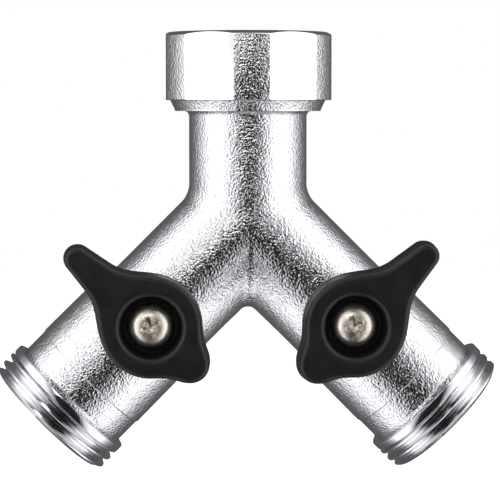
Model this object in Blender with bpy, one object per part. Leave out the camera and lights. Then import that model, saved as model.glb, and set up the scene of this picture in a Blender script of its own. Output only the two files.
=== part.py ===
"""Two-way hose splitter: a plated Y-shaped casting with a lever ball valve in each outlet arm.

Units are metres and +Z is up. The origin is on the inlet axis, at the top face of the hexagonal
collar. The two arms run down and outwards in the XZ plane, and the levers face -Y.

Each valve is described in its own frame: +Z of that frame is the stem axis, pointing out of the
lever, and +X is the direction of the lever's long wing, which is also the way through the ball.
"""

import math

import bmesh
import bpy
from mathutils import Matrix, Vector

# Fits and facets
GAP = 0.0003
COARSE = 16
MEDIUM = 24
FINE = 36
THREAD_FACETS = 28
SMOOTH_ANGLE = math.radians(32)
SLIVER = 0.000004

# G 3/4 pipe thread: 14 turns per inch, 55 degree form
PITCH = 0.0254 / 14
THREAD_MAJOR = 0.01322
THREAD_MINOR = 0.01206
THREAD_FORM = ((0, THREAD_MINOR), (1 / 6, THREAD_MINOR), (1 / 2, THREAD_MAJOR), (2 / 3, THREAD_MAJOR))

# Inlet collar and neck
COLLAR_FLATS = 0.0300
COLLAR_CORNER_RADIUS = 0.0158
COLLAR_FACE_RADIUS = 0.0145
COLLAR_CHAMFER = 0.00065
COLLAR_HEX_BOTTOM = -0.0124
COLLAR_SKIRT_RADIUS = 0.01425
COLLAR_FOOT_RADIUS = 0.0134
COLLAR_FOOT = -0.0142
COLLAR_BOTTOM = -0.0144
NECK_RADIUS = 0.0108
NECK_BORE_RADIUS = 0.0080
INLET_MOUTH_RADIUS = 0.0133
INLET_MOUTH_DEPTH = 0.0010
INLET_THREAD_DEPTH = 0.0092
INLET_RELIEF_RADIUS = 0.0129
INLET_FLOOR = -0.0124

# Junction and arms; distances along an arm start at the junction
JUNCTION_Z = -0.0342
ARM_TURN = math.radians(135)
ARM_RADIUS = 0.01085
ARM_SWELL_START = 0.0229
ARM_SWELL_END = 0.0314
ARM_SWELL_RADIUS = 0.0119
ARM_TURNED_START = 0.0409
ARM_CAST_RADIUS = 0.0120
ARM_TURNED_RADIUS = 0.01183
LAND_START = 0.0461
LAND_END = 0.0475
LAND_RADIUS = 0.01315
ARM_END = 0.0521
END_CHAMFER = 0.0006
PASSAGE_RADIUS = 0.0065
SHOULDER_BEFORE_BALL = 0.0075

# Ball valve; heights are along the stem axis, from the centre of the ball
VALVE_ALONG_ARM = 0.0255
CHAMBER_RADIUS = 0.0086
BALL_RADIUS = 0.00825
BALL_BORE_RADIUS = 0.0055
BALL_SLOT_WIDTH = 0.0026
BALL_SLOT_FLOOR = 0.0063
SEAT_OUTER_RADIUS = CHAMBER_RADIUS - GAP
SEAT_BORE_RADIUS = 0.0058
RETAINER_LENGTH = 0.0070
RETAINER_KEY_FLATS = 0.0115
POCKET_RADIUS = 0.0053
POCKET_TOP = 0.0108
BOSS_RADIUS = 0.0065
BOSS_TOP = 0.0149
STEM_BORE_RADIUS = 0.0042
FLANGE_RADIUS = POCKET_RADIUS - GAP
FLANGE_BOTTOM = BALL_RADIUS + GAP
FLANGE_TOP = 0.0095
STEM_RADIUS = STEM_BORE_RADIUS - GAP
STEM_SQUARE_BOTTOM = 0.0150
STEM_TOP = 0.0173
STEM_SQUARE = 0.0060
TANG_BOTTOM = BALL_SLOT_FLOOR + GAP
TANG_LENGTH = 0.0072
GROOVE_RADIUS = 0.0027
GROOVE_WIDTH = 0.0015
GROOVE_HEIGHTS = {"lower": 0.01185, "upper": 0.01360}
O_RING_SECTION = 0.00045

# Stops: a lug on the boss runs in a gap of a rib under the knob
TRAVEL = math.radians(90)
LUG_ANGLE = math.radians(40)
STOP_MARGIN = math.radians(2)
LUG_RADIUS = 0.0076
RIB_BOTTOM = 0.0135
RIB_INNER_RADIUS = 0.0069

# Knob outline: a round hub, a long tapered wing and a short round wing, blended together
HUB_RADIUS = 0.0092
WING_TIP_RADIUS = 0.0025
WING_TIP_OUT = 0.0176
WING_ROOT_OUT = 0.0060
WING_TAPER = math.radians(9)
SHORT_WING_RADIUS = 0.0033
SHORT_WING_OUT = 0.0098
OUTLINE_BLEND = 0.0042
OUTLINE_POINTS = 44
KNOB_SKIRT_BOTTOM = 0.0132
KNOB_SKIRT_RADIUS = 0.0088
KNOB_BOTTOM = 0.0145
KNOB_PARTING = 0.0175
KNOB_FACE = 0.0223
KNOB_CAVITY_RADIUS = 0.0080
KNOB_WEB_BOTTOM = BOSS_TOP + GAP
RECESS_FLOOR = 0.0176
RECESS_FLOOR_RADIUS = 0.0049
RECESS_MOUTH_RADIUS = 0.0055
RECESS_RIM_RADIUS = 0.0064
RECESS_RIM_DEPTH = 0.0009

# M4 pan head screw with a cross recess; its shank is drawn at the core of its thread
SCREW_SEAT = RECESS_FLOOR + GAP
SCREW_HEAD_RADIUS = 0.0040
SCREW_HEAD_HEIGHT = 0.0031
SCREW_LENGTH = 0.0060
SCREW_CORE_RADIUS = 0.0016
SCREW_HOLE_FLOOR = 0.0115
CROSS_SPAN = 0.0044
CROSS_WIDTH = 0.0009
CROSS_DEPTH = 0.0017
CROSS_TURN = math.radians(22)

# Inlet washer
WASHER_OUTER_RADIUS = 0.0125
WASHER_BORE_RADIUS = 0.0082
WASHER_THICKNESS = 0.0025

# Each side: which way its arm leans, the lever's closed direction seen from the front, the
# angle by which it stands open, the way it opens, and where the stop lug sits on the boss
SIDES = {
    "left": {"lean": -1, "closed": math.radians(135), "turned": math.radians(2), "opens": 1, "lug": 0.0},
    "right": {"lean": 1, "closed": math.radians(45), "turned": 0.0, "opens": -1, "lug": math.pi},
}

MATERIALS = {
    "plated_brass": ((0.72, 0.72, 0.74), 0.25, 1.0),
    "black_nylon": ((0.012, 0.012, 0.013), 0.45, 0.0),
    "nickel_steel": ((0.70, 0.66, 0.58), 0.22, 1.0),
    "bright_brass": ((0.75, 0.56, 0.26), 0.25, 1.0),
    "white_ptfe": ((0.85, 0.85, 0.83), 0.40, 0.0),
    "black_rubber": ((0.02, 0.02, 0.02), 0.70, 0.0),
}


# ---------------------------------------------------------------- materials and objects

def add_material(name):
    """Return the named material, making it the first time it is asked for."""
    if name in bpy.data.materials:
        return bpy.data.materials[name]
    colour, roughness, metallic = MATERIALS[name]
    material = bpy.data.materials.new(name)
    material.use_nodes = True
    surface = material.node_tree.nodes["Principled BSDF"]
    surface.inputs["Base Color"].default_value = (*colour, 1.0)
    surface.inputs["Roughness"].default_value = roughness
    surface.inputs["Metallic"].default_value = metallic
    return material


def add_object(name, shape):
    """Turn a bmesh into an object with outward faces, and free the bmesh."""
    bmesh.ops.recalc_face_normals(shape, faces=shape.faces)
    mesh = bpy.data.meshes.new(name)
    shape.to_mesh(mesh)
    shape.free()
    item = bpy.data.objects.new(name, mesh)
    bpy.context.collection.objects.link(item)
    return item


def finish(item, material, frame=None):
    """Give a finished object its material, its shading and its place."""
    item.data.materials.clear()
    item.data.materials.append(add_material(material))
    item.data.shade_smooth()
    item.data.set_sharp_from_angle(angle=SMOOTH_ANGLE)
    if frame is not None:
        item.matrix_world = frame
    return item


def combine(target, tool, operation):
    """Apply the exact Boolean of a tool to a target, and remove the tool."""
    modifier = target.modifiers.new(operation, "BOOLEAN")
    modifier.operation = operation
    modifier.solver = "EXACT"
    modifier.object = tool
    bpy.context.view_layer.update()
    evaluated = target.evaluated_get(bpy.context.evaluated_depsgraph_get())
    mesh = bpy.data.meshes.new_from_object(evaluated)
    target.modifiers.clear()
    target.data = mesh
    bpy.data.objects.remove(tool)
    merge_slivers(mesh)


def merge_slivers(mesh):
    """Close up the hair-thin faces that a Boolean leaves where two surfaces nearly meet."""
    shape = bmesh.new()
    shape.from_mesh(mesh)
    bmesh.ops.remove_doubles(shape, verts=shape.verts, dist=SLIVER)
    bmesh.ops.dissolve_degenerate(shape, edges=shape.edges, dist=SLIVER)
    shape.to_mesh(mesh)
    shape.free()


def cut(target, tool):
    combine(target, tool, "DIFFERENCE")


def fuse(target, tool):
    combine(target, tool, "UNION")


# ---------------------------------------------------------------- basic solids

def turned(name, profile, segments):
    """A solid of revolution about Z. The profile is a closed outline of (radius, height)."""
    shape = bmesh.new()
    corners = [shape.verts.new((radius, 0.0, height)) for radius, height in profile]
    edges = [shape.edges.new((corners[i - 1], corners[i])) for i in range(len(corners))]
    on_axis = [edge for edge in edges if all(abs(vert.co.x) < 1e-9 for vert in edge.verts)]
    bmesh.ops.delete(shape, geom=on_axis, context="EDGES_FACES")
    bmesh.ops.spin(
        shape,
        geom=shape.verts[:] + shape.edges[:],
        axis=(0, 0, 1),
        cent=(0, 0, 0),
        steps=segments,
        angle=2 * math.pi,
    )
    bmesh.ops.remove_doubles(shape, verts=shape.verts, dist=1e-7)
    return add_object(name, shape)


def rod(name, radius, bottom, top, segments):
    """A plain cylinder about Z."""
    return turned(name, [(0, bottom), (radius, bottom), (radius, top), (0, top)], segments)


def ring(name, inner, outer, bottom, top, segments):
    """A plain washer about Z."""
    return turned(name, [(inner, bottom), (outer, bottom), (outer, top), (inner, top)], segments)


def block(name, length, width, bottom, top):
    """A box centred on Z."""
    shape = bmesh.new()
    bmesh.ops.create_cube(shape, size=1.0)
    bmesh.ops.scale(shape, verts=shape.verts, vec=(length, width, top - bottom))
    bmesh.ops.translate(shape, verts=shape.verts, vec=(0, 0, (top + bottom) / 2))
    return add_object(name, shape)


def prism(name, outline, bottom, top):
    """A straight prism over a flat outline of (x, y)."""
    shape = bmesh.new()
    floor = shape.faces.new([shape.verts.new((x, y, bottom)) for x, y in outline])
    raised = bmesh.ops.extrude_face_region(shape, geom=[floor])
    moved = [item for item in raised["geom"] if isinstance(item, bmesh.types.BMVert)]
    bmesh.ops.translate(shape, verts=moved, vec=(0, 0, top - bottom))
    return add_object(name, shape)


def hexagon(flats):
    """Corners of a regular hexagon with a corner on +X, from its width across flats."""
    corner = flats / math.sqrt(3)
    return [(corner * math.cos(k * math.pi / 3), corner * math.sin(k * math.pi / 3)) for k in range(6)]


def sector(name, inner, outer, middle, sweep, bottom, top, steps):
    """A curved bar: the part of a washer inside an angle centred on a direction."""
    angles = [middle + sweep * (k / steps - 0.5) for k in range(steps + 1)]
    outline = [(outer * math.cos(a), outer * math.sin(a)) for a in angles]
    outline += [(inner * math.cos(a), inner * math.sin(a)) for a in reversed(angles)]
    return prism(name, outline, bottom, top)


def moved(item, frame):
    """Move a solid's mesh by a frame, and return the solid."""
    item.data.transform(frame)
    return item


# ---------------------------------------------------------------- threads

def threaded_core(name, bottom, top, segments):
    """A right-hand threaded rod about Z that runs at least from bottom to top.

    The form's corners run up the rod as a grid that is one pitch higher after each turn, so
    the end of one turn is the start of the next.
    """
    steps = len(THREAD_FORM)
    rows = steps * (math.ceil((top - bottom) / PITCH) + 2)
    shape = bmesh.new()
    grid = []
    for row in range(rows + steps):
        turn, step = divmod(row, steps)
        rise, radius = THREAD_FORM[step]
        line = []
        for column in range(segments if row < rows else 1):
            angle = 2 * math.pi * (column + 0.5) / segments
            height = bottom + PITCH * (turn - 1 + rise + column / segments)
            line.append(shape.verts.new((radius * math.cos(angle), radius * math.sin(angle), height)))
        grid.append(line)

    def corner(row, column):
        return grid[row][column] if column < segments else grid[row + steps][0]

    for row in range(rows - 1):
        for column in range(segments):
            shape.faces.new((
                corner(row, column),
                corner(row, column + 1),
                corner(row + 1, column + 1),
                corner(row + 1, column),
            ))
    for row, step in ((0, 1), (rows - 1, 1)):
        rim = [corner(row, column) for column in range(segments)]
        rim += [grid[row + k][0] for k in range(steps, 0, -step)]
        apex = shape.verts.new((0, 0, rim[0].co.z))
        for k in range(len(rim)):
            shape.faces.new((apex, rim[k - 1], rim[k]))
    return add_object(name, shape)


# ---------------------------------------------------------------- knob outline

def outline_depth(x, y):
    """Signed distance from the blended knob outline: below zero inside it."""
    hub = math.hypot(x, y) - HUB_RADIUS
    short_wing = math.hypot(x + SHORT_WING_OUT, y) - SHORT_WING_RADIUS
    across = math.cos(WING_TAPER) * abs(y) + math.sin(WING_TAPER) * (x - WING_TIP_OUT)
    along = math.cos(WING_TAPER) * (x - WING_TIP_OUT) - math.sin(WING_TAPER) * abs(y)
    if along > 0:
        wing = math.hypot(x - WING_TIP_OUT, y) - WING_TIP_RADIUS
    else:
        wing = max(across - WING_TIP_RADIUS, WING_ROOT_OUT - x)
    return blend(blend(hub, short_wing), wing)


def blend(first, second):
    """Smallest of two distances, rounded where they are nearly the same."""
    weight = max(OUTLINE_BLEND - abs(first - second), 0.0) / OUTLINE_BLEND
    return min(first, second) - weight * weight * OUTLINE_BLEND / 4


def outline_radius(angle, inset):
    """Distance from the knob's axis to its outline in one direction, by bisection."""
    inside = 0.0
    outside = WING_TIP_OUT + 2 * WING_TIP_RADIUS
    for _ in range(40):
        middle = (inside + outside) / 2
        if outline_depth(middle * math.cos(angle), middle * math.sin(angle)) < -inset:
            inside = middle
        else:
            outside = middle
    return inside


def knob_outline(inset):
    """Evenly spaced points along the knob's outline, starting at the tip of the long wing."""
    dense = 1440
    loop = []
    for k in range(dense + 1):
        angle = 2 * math.pi * k / dense
        loop.append(Vector((math.cos(angle), math.sin(angle))) * outline_radius(angle, inset))
    lengths = [0.0]
    for k in range(dense):
        lengths.append(lengths[-1] + (loop[k + 1] - loop[k]).length)
    points = []
    place = 0
    for k in range(OUTLINE_POINTS):
        goal = lengths[-1] * k / OUTLINE_POINTS
        while lengths[place + 1] < goal:
            place += 1
        share = (goal - lengths[place]) / (lengths[place + 1] - lengths[place])
        points.append(loop[place].lerp(loop[place + 1], share))
    return points


# ---------------------------------------------------------------- body

def arm_frame(side):
    """The frame of one arm: its +Z runs out of the outlet, its origin is the junction."""
    lean = SIDES[side]["lean"]
    return Matrix.Translation((0, 0, JUNCTION_Z)) @ Matrix.Rotation(lean * ARM_TURN, 4, "Y")


def facet_turn(side, segments):
    """Turn one side's facets a little, so that they don't line up with the other side's."""
    share = 0.35 if side == "left" else 0.15
    return Matrix.Rotation(share * 2 * math.pi / segments, 4, "Z")


def boss_frame(side):
    """The frame of one stem boss: its +Z is the stem axis, its +X is the world's."""
    centre = arm_frame(side) @ Vector((0, 0, VALVE_ALONG_ARM))
    return Matrix.Translation(centre) @ Matrix.Rotation(math.pi / 2, 4, "X")


def valve_frame(side):
    """The frame of the pieces that turn: a boss frame turned to the lever's direction."""
    closed = SIDES[side]["closed"]
    turned_by = SIDES[side]["opens"] * SIDES[side]["turned"]
    return boss_frame(side) @ Matrix.Rotation(closed + turned_by, 4, "Z")


def add_collar():
    """The hexagonal collar with chamfered corners and a tapered skirt, as a solid."""
    profile = [
        (0, 0),
        (COLLAR_FACE_RADIUS, 0),
        (COLLAR_CORNER_RADIUS, -COLLAR_CHAMFER),
        (COLLAR_CORNER_RADIUS, COLLAR_HEX_BOTTOM),
        (COLLAR_SKIRT_RADIUS, COLLAR_HEX_BOTTOM),
        (COLLAR_FOOT_RADIUS, COLLAR_FOOT),
        (COLLAR_FOOT_RADIUS, COLLAR_BOTTOM),
        (0, COLLAR_BOTTOM),
    ]
    collar = turned("body", profile, FINE)
    flats = prism("flats", hexagon(COLLAR_FLATS), 2 * COLLAR_BOTTOM, COLLAR_FLATS)
    combine(collar, moved(flats, Matrix.Rotation(math.pi / 2, 4, "Z")), "INTERSECT")
    return collar


def add_arm(side):
    """One arm as a solid: swelling around the valve, a turned land and a threaded outlet."""
    profile = [
        (0, 0),
        (ARM_RADIUS, 0),
        (ARM_RADIUS, ARM_SWELL_START),
        (ARM_SWELL_RADIUS, ARM_SWELL_END),
        (ARM_CAST_RADIUS, ARM_TURNED_START),
        (ARM_TURNED_RADIUS, ARM_TURNED_START),
        (ARM_TURNED_RADIUS, LAND_START),
        (LAND_RADIUS, LAND_START),
        (LAND_RADIUS, LAND_END),
        (0, LAND_END),
    ]
    arm = turned("arm", profile, FINE)
    blank_bottom = LAND_END - 0.5 * PITCH
    blank = [
        (0, blank_bottom),
        (THREAD_MINOR, blank_bottom),
        (THREAD_MAJOR + GAP, LAND_END + 2 * GAP),
        (THREAD_MAJOR + GAP, ARM_END - END_CHAMFER - GAP),
        (THREAD_MAJOR - END_CHAMFER, ARM_END),
        (0, ARM_END),
    ]
    thread = threaded_core("thread", blank_bottom, ARM_END, THREAD_FACETS)
    combine(thread, turned("blank", blank, FINE), "INTERSECT")
    fuse(arm, thread)
    return moved(arm, arm_frame(side) @ facet_turn(side, FINE))


def add_boss(side):
    """The stem boss and its stop lug, both rooted in the arm's wall."""
    boss = rod("boss", BOSS_RADIUS, CHAMBER_RADIUS + GAP, BOSS_TOP, MEDIUM)
    lug_root = BOSS_RADIUS - 2 * GAP
    lug_bottom = CHAMBER_RADIUS + 2 * GAP
    lug_middle = SIDES[side]["lug"]
    fuse(boss, sector("lug", lug_root, LUG_RADIUS, lug_middle, LUG_ANGLE, lug_bottom, BOSS_TOP, 4))
    return moved(boss, boss_frame(side))


def inlet_tool():
    """Everything that is cut out from above: threaded socket, washer seat and neck bore."""
    above = INLET_MOUTH_DEPTH
    mouth_slope = (INLET_MOUTH_RADIUS - THREAD_MINOR) / INLET_MOUTH_DEPTH
    core_top = -INLET_MOUTH_DEPTH - GAP / mouth_slope
    profile = [
        (0, above),
        (INLET_MOUTH_RADIUS + above * mouth_slope, above),
        (THREAD_MINOR - GAP, core_top),
        (THREAD_MINOR - GAP, -INLET_THREAD_DEPTH),
        (INLET_RELIEF_RADIUS, -INLET_THREAD_DEPTH),
        (INLET_RELIEF_RADIUS, INLET_FLOOR),
        (NECK_BORE_RADIUS, INLET_FLOOR),
        (NECK_BORE_RADIUS, JUNCTION_Z),
        (0, JUNCTION_Z),
    ]
    tool = turned("inlet_tool", profile, FINE)
    thread_top = 0.5 * PITCH
    thread_bottom = -INLET_THREAD_DEPTH - 0.5 * PITCH
    thread = threaded_core("inlet_thread", thread_bottom, thread_top, THREAD_FACETS)
    limits = rod("limits", THREAD_MAJOR + GAP, -INLET_THREAD_DEPTH - GAP, thread_top, FINE)
    combine(thread, limits, "INTERSECT")
    fuse(tool, thread)
    return tool


def arm_tool(side):
    """The stepped bore of one arm: narrow behind the valve, wide from the ball to the outlet."""
    shoulder = VALVE_ALONG_ARM - SHOULDER_BEFORE_BALL
    above = END_CHAMFER
    profile = [
        (0, 0),
        (PASSAGE_RADIUS, 0),
        (PASSAGE_RADIUS, shoulder),
        (CHAMBER_RADIUS, shoulder),
        (CHAMBER_RADIUS, ARM_END - END_CHAMFER),
        (CHAMBER_RADIUS + END_CHAMFER + above, ARM_END + above),
        (0, ARM_END + above),
    ]
    return moved(turned("arm_tool", profile, FINE), arm_frame(side) @ facet_turn(side, FINE))


def stem_tool(side):
    """The stem bore through a boss, with the flange's pocket under it."""
    profile = [
        (0, 0),
        (POCKET_RADIUS, 0),
        (POCKET_RADIUS, POCKET_TOP),
        (STEM_BORE_RADIUS, POCKET_TOP),
        (STEM_BORE_RADIUS, BOSS_TOP + GAP),
        (0, BOSS_TOP + GAP),
    ]
    return moved(turned("stem_tool", profile, MEDIUM), boss_frame(side))


def add_body():
    """The one-piece casting: collar, neck, two arms and two bosses, then all of its bores."""
    body = add_collar()
    fuse(body, rod("neck", NECK_RADIUS, JUNCTION_Z - GAP, COLLAR_BOTTOM + GAP, FINE))
    for side in SIDES:
        fuse(body, add_arm(side))
    for side in SIDES:
        fuse(body, add_boss(side))
    cut(body, inlet_tool())
    for side in SIDES:
        cut(body, arm_tool(side))
    for side in SIDES:
        cut(body, stem_tool(side))
    finish(body, "plated_brass")


def add_inlet_washer():
    bottom = INLET_FLOOR + GAP
    washer = ring(
        "inlet_washer",
        WASHER_BORE_RADIUS,
        WASHER_OUTER_RADIUS,
        bottom,
        bottom + WASHER_THICKNESS,
        FINE,
    )
    finish(washer, "black_rubber")


# ---------------------------------------------------------------- valve pieces

def valve_centre_frame(side):
    """An arm's frame moved out to the centre of its ball."""
    return arm_frame(side) @ Matrix.Translation((0, 0, VALVE_ALONG_ARM))


def add_seats(side):
    """The two sealing rings: each has a 45 degree face that keeps a small gap to the ball."""
    back = SHOULDER_BEFORE_BALL - GAP
    touch = math.sqrt(2) * (BALL_RADIUS + GAP)
    for name, way in (("inner_seat", -1), ("outer_seat", 1)):
        profile = [
            (SEAT_BORE_RADIUS, way * back),
            (SEAT_OUTER_RADIUS, way * back),
            (SEAT_OUTER_RADIUS, way * (touch - SEAT_OUTER_RADIUS)),
            (SEAT_BORE_RADIUS, way * (touch - SEAT_BORE_RADIUS)),
        ]
        seat = turned(f"{side}_{name}", profile, MEDIUM)
        finish(seat, "white_ptfe", valve_centre_frame(side))


def add_seat_retainer(side):
    """The ring that is screwed in from the outlet with a hexagon key."""
    bottom = SHOULDER_BEFORE_BALL
    top = bottom + RETAINER_LENGTH
    retainer = rod(f"{side}_seat_retainer", SEAT_OUTER_RADIUS, bottom, top, MEDIUM)
    cut(retainer, prism("key_hole", hexagon(RETAINER_KEY_FLATS), bottom - GAP, top + GAP))
    finish(retainer, "bright_brass", valve_centre_frame(side))


def add_ball(side):
    """The ball, bored along the lever's direction, with a slot for the stem's tang."""
    shape = bmesh.new()
    bmesh.ops.create_uvsphere(shape, u_segments=MEDIUM, v_segments=MEDIUM // 2, radius=BALL_RADIUS)
    ball = add_object(f"{side}_ball", shape)
    bore = rod("bore", BALL_BORE_RADIUS, -2 * BALL_RADIUS, 2 * BALL_RADIUS, COARSE)
    cut(ball, moved(bore, Matrix.Rotation(math.pi / 2, 4, "Y")))
    cut(ball, block("slot", BALL_SLOT_WIDTH, 2 * BALL_RADIUS, BALL_SLOT_FLOOR, 2 * BALL_RADIUS))
    finish(ball, "bright_brass", valve_frame(side))


def square_bar(name, width, corner_radius, bottom, top):
    """A square bar with its corners turned down to a radius."""
    bar = block(name, width, width, bottom, top)
    combine(bar, rod("corners", corner_radius, bottom - GAP, top + GAP, MEDIUM), "INTERSECT")
    return bar


def add_stem(side):
    """The stem: tang, flange, grooved shaft and square head with the screw's hole."""
    profile = [(0, FLANGE_BOTTOM), (FLANGE_RADIUS, FLANGE_BOTTOM), (FLANGE_RADIUS, FLANGE_TOP)]
    profile.append((STEM_RADIUS, FLANGE_TOP))
    for height in sorted(GROOVE_HEIGHTS.values()):
        low = height - GROOVE_WIDTH / 2
        high = height + GROOVE_WIDTH / 2
        profile += [(STEM_RADIUS, low), (GROOVE_RADIUS, low), (GROOVE_RADIUS, high), (STEM_RADIUS, high)]
    profile += [(STEM_RADIUS, STEM_SQUARE_BOTTOM), (0, STEM_SQUARE_BOTTOM)]
    stem = turned(f"{side}_stem", profile, MEDIUM)
    fuse(stem, square_bar("head", STEM_SQUARE, STEM_RADIUS - GAP / 3, STEM_SQUARE_BOTTOM - GAP, STEM_TOP))
    tang_width = BALL_SLOT_WIDTH - 2 * GAP
    fuse(stem, block("tang", tang_width, TANG_LENGTH, TANG_BOTTOM, FLANGE_BOTTOM + GAP))
    cut(stem, rod("hole", SCREW_CORE_RADIUS + GAP, SCREW_HOLE_FLOOR, STEM_TOP + GAP, COARSE))
    finish(stem, "bright_brass", valve_frame(side))


def add_stem_seals(side):
    """The thrust washer over the flange, and an O-ring in each groove."""
    bottom = FLANGE_TOP + GAP
    top = POCKET_TOP - GAP
    washer = ring(f"{side}_thrust_washer", STEM_BORE_RADIUS, FLANGE_RADIUS, bottom, top, MEDIUM)
    finish(washer, "white_ptfe", boss_frame(side))
    centre = (GROOVE_RADIUS + STEM_BORE_RADIUS) / 2
    for name, height in GROOVE_HEIGHTS.items():
        profile = []
        for k in range(8):
            angle = 2 * math.pi * k / 8
            radius = centre + O_RING_SECTION * math.cos(angle)
            profile.append((radius, height + O_RING_SECTION * math.sin(angle)))
        o_ring = turned(f"{side}_stem_o_ring_{name}", profile, COARSE)
        finish(o_ring, "black_rubber", valve_frame(side))


# ---------------------------------------------------------------- knob and screw

def knob_blank(name):
    """The knob's outer shape: drafted walls either side of a parting line, and a rounded face."""
    levels = [
        (KNOB_BOTTOM, 0.00015),
        (KNOB_PARTING, 0.0),
        (KNOB_FACE - 0.0010, 0.00020),
        (KNOB_FACE - 0.0003, 0.00055),
        (KNOB_FACE, 0.00120),
    ]
    shape = bmesh.new()
    rings = []
    for height, inset in levels:
        rings.append([shape.verts.new((p.x, p.y, height)) for p in knob_outline(inset)])
    for lower, upper in zip(rings, rings[1:]):
        for k in range(OUTLINE_POINTS):
            shape.faces.new((lower[k - 1], lower[k], upper[k], upper[k - 1]))
    shape.faces.new(rings[0])
    shape.faces.new(rings[-1])
    return add_object(name, shape)


def add_knob(side):
    """The two-winged lever: recessed for its screw in front, hollow over the boss behind."""
    knob = knob_blank(f"{side}_knob")
    fuse(knob, rod("skirt", KNOB_SKIRT_RADIUS, KNOB_SKIRT_BOTTOM, KNOB_PARTING, FINE))
    cut(knob, rod("cavity", KNOB_CAVITY_RADIUS, KNOB_SKIRT_BOTTOM - GAP, KNOB_WEB_BOTTOM, FINE))
    rib_sweep = 2 * math.pi - TRAVEL - LUG_ANGLE - 2 * STOP_MARGIN
    rib_outer = (KNOB_CAVITY_RADIUS + KNOB_SKIRT_RADIUS) / 2
    rib_top = KNOB_WEB_BOTTOM + GAP
    fuse(knob, sector("rib", RIB_INNER_RADIUS, rib_outer, 0, rib_sweep, RIB_BOTTOM, rib_top, 20))
    hole_corner = STEM_RADIUS + GAP
    cut(knob, square_bar("hole", STEM_SQUARE + 2 * GAP, hole_corner, KNOB_WEB_BOTTOM - GAP, KNOB_FACE))
    slope = (RECESS_RIM_RADIUS - RECESS_MOUTH_RADIUS) / RECESS_RIM_DEPTH
    recess = [
        (0, RECESS_FLOOR),
        (RECESS_FLOOR_RADIUS, RECESS_FLOOR),
        (RECESS_MOUTH_RADIUS, KNOB_FACE - RECESS_RIM_DEPTH),
        (RECESS_RIM_RADIUS + slope * GAP, KNOB_FACE + GAP),
        (0, KNOB_FACE + GAP),
    ]
    cut(knob, turned("recess", recess, FINE))
    finish(knob, "black_nylon", valve_frame(side))


def add_knob_screw(side):
    """The screw: a shank, a domed head and a cross recess."""
    shoulder = SCREW_SEAT + 0.55 * SCREW_HEAD_HEIGHT
    profile = [
        (0, SCREW_SEAT - SCREW_LENGTH),
        (SCREW_CORE_RADIUS, SCREW_SEAT - SCREW_LENGTH),
        (SCREW_CORE_RADIUS, SCREW_SEAT),
        (SCREW_HEAD_RADIUS, SCREW_SEAT),
        (SCREW_HEAD_RADIUS, shoulder),
    ]
    dome = SCREW_SEAT + SCREW_HEAD_HEIGHT - shoulder
    for k in (1, 2, 3):
        angle = k * math.pi / 8
        profile.append((SCREW_HEAD_RADIUS * math.cos(angle), shoulder + dome * math.sin(angle)))
    top = SCREW_SEAT + SCREW_HEAD_HEIGHT
    profile.append((0, top))
    screw = turned(f"{side}_knob_screw", profile, COARSE)
    for quarter in (0, 1):
        slot = block("slot", CROSS_SPAN, CROSS_WIDTH, top - CROSS_DEPTH, top + GAP)
        direction = CROSS_TURN - SIDES[side]["closed"] + quarter * math.pi / 2
        cut(screw, moved(slot, Matrix.Rotation(direction, 4, "Z")))
    finish(screw, "nickel_steel", valve_frame(side))


# ---------------------------------------------------------------- assembly

def clear_scene():
    for item in list(bpy.data.objects):
        bpy.data.objects.remove(item)


def main():
    clear_scene()
    add_body()
    add_inlet_washer()
    for side in SIDES:
        add_seats(side)
        add_seat_retainer(side)
        add_ball(side)
        add_stem(side)
        add_stem_seals(side)
        add_knob(side)
        add_knob_screw(side)


main()
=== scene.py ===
"""Looks of the two-way hose splitter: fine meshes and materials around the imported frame.

Units are metres, +Z is up, the origin is at the collar's top face on the inlet axis. The casting,
knobs, screws and valve pieces are remade finely at the CAD model's sizes and stand for its nodes.
"""

import math

import bmesh
import bpy
import numpy as np
from mathutils import Matrix, Vector


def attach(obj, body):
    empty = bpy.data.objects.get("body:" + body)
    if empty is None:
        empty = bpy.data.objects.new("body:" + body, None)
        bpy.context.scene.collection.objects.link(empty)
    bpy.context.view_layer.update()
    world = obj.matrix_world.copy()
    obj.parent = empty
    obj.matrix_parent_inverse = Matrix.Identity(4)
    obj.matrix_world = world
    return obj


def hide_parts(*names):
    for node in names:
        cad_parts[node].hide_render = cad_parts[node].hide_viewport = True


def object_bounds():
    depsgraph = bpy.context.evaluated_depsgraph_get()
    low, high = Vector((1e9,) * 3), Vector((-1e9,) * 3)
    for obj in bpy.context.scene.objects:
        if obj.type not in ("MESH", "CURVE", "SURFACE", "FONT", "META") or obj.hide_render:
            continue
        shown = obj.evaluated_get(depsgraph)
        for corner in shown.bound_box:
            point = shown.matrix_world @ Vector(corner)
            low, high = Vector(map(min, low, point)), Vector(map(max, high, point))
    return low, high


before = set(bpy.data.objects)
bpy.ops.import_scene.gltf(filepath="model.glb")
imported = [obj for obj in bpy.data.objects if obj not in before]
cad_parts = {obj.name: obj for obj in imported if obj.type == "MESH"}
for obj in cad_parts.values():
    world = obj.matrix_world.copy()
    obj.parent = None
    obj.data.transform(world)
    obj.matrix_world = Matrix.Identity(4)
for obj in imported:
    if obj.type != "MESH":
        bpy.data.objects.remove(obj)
cad_low, cad_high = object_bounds()

GAP = 0.0003
SIDES = {
    "left": {"lean": -1, "closed": math.radians(135), "turned": math.radians(2), "opens": 1, "lug": 0.0},
    "right": {"lean": 1, "closed": math.radians(45), "turned": 0.0, "opens": -1, "lug": math.pi},
}

# G 3/4 thread
PITCH = 0.0254 / 14
THREAD_MAJOR = 0.01322
THREAD_MINOR = 0.01206

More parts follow.
